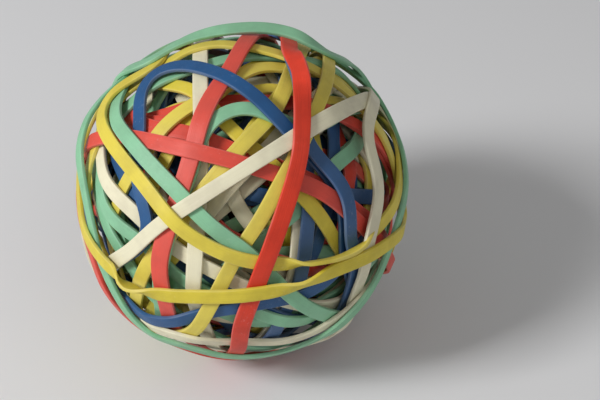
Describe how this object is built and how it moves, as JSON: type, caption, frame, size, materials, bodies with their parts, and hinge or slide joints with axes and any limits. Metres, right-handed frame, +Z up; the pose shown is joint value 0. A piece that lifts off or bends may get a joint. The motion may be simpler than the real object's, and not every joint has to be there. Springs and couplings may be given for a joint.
{
  "type": "rubber band ball",
  "caption": "Ball of coloured flat rubber bands wound one over another round a wound core, resting on a small pressed flat.",
  "frame": {"origin": "middle of the ball's footprint at table level", "axes": "+Z up, -Y towards the front, the side that the picture shows from above, and +X to its right"},
  "size_m": [0.0676, 0.0706, 0.0677],
  "materials": {
    "red_rubber": "matt tomato-red rubber, lightly dusted",
    "yellow_rubber": "matt lemon-yellow rubber",
    "green_rubber": "matt mint-green rubber",
    "blue_rubber": "matt mid-blue rubber",
    "white_rubber": "matt cream-white rubber",
    "core_rubber": "matt rubber windings in mixed colours"
  },
  "bodies": {
    "root": {"blue_band_1": "blue_rubber", "blue_band_2": "blue_rubber", "blue_band_3": "blue_rubber", "blue_band_4": "blue_rubber", "blue_band_5": "blue_rubber", "blue_band_6": "blue_rubber", "green_band_1": "green_rubber", "green_band_2": "green_rubber", "green_band_3": "green_rubber", "green_band_4": "green_rubber", "green_band_5": "green_rubber", "green_band_6": "green_rubber", "green_band_7": "green_rubber", "green_band_8": "green_rubber", "green_band_9": "green_rubber", "red_band_1": "red_rubber", "red_band_2": "red_rubber", "red_band_3": "red_rubber", "red_band_4": "red_rubber", "red_band_5": "red_rubber", "red_band_6": "red_rubber", "red_band_7": "red_rubber", "white_band_1": "white_rubber", "white_band_2": "white_rubber", "white_band_3": "white_rubber", "white_band_4": "white_rubber", "white_band_5": "white_rubber", "white_band_6": "white_rubber", "white_band_7": "white_rubber", "white_band_8": "white_rubber", "white_band_9": "white_rubber", "wound_core": "core_rubber", "yellow_band_1": "yellow_rubber", "yellow_band_10": "yellow_rubber", "yellow_band_2": "yellow_rubber", "yellow_band_3": "yellow_rubber", "yellow_band_4": "yellow_rubber", "yellow_band_5": "yellow_rubber", "yellow_band_6": "yellow_rubber", "yellow_band_7": "yellow_rubber", "yellow_band_8": "yellow_rubber", "yellow_band_9": "yellow_rubber"}
  },
  "joints": []
}
